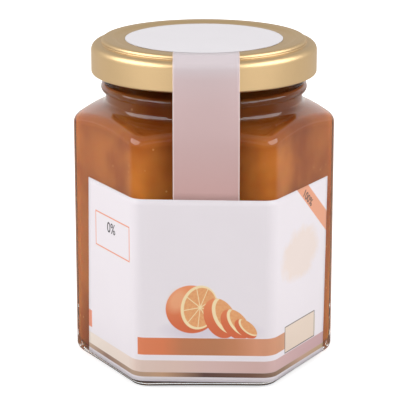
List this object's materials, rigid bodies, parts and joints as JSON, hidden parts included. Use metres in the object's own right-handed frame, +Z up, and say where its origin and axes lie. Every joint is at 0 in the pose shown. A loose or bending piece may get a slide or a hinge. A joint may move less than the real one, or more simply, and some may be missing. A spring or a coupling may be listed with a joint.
{
  "type": "marmalade jar",
  "caption": "Six-sided glass jar filled with orange marmalade, closed by a gold twist-off lid, with a wrap-round paper label, a seal strip and a round lid sticker.",
  "frame": {"origin": "on the jar's axis, on the surface that it stands on", "axes": "+Z up along the jar's axis; the labelled front face looks along -Y, with +X to the right seen from the front"},
  "size_m": [0.0774, 0.0685, 0.0971],
  "materials": {
    "clear_glass": "polished",
    "orange_marmalade": "gloss",
    "gold_tinplate": "satin",
    "printed_paper": "satin",
    "tinted_paper": "satin",
    "plain_paper": "satin"
  },
  "bodies": {
    "root": {"glass_jar": "clear_glass", "marmalade": "orange_marmalade", "lid": "gold_tinplate", "label": "printed_paper", "seal_strip": "tinted_paper", "lid_sticker": "plain_paper"}
  },
  "joints": []
}
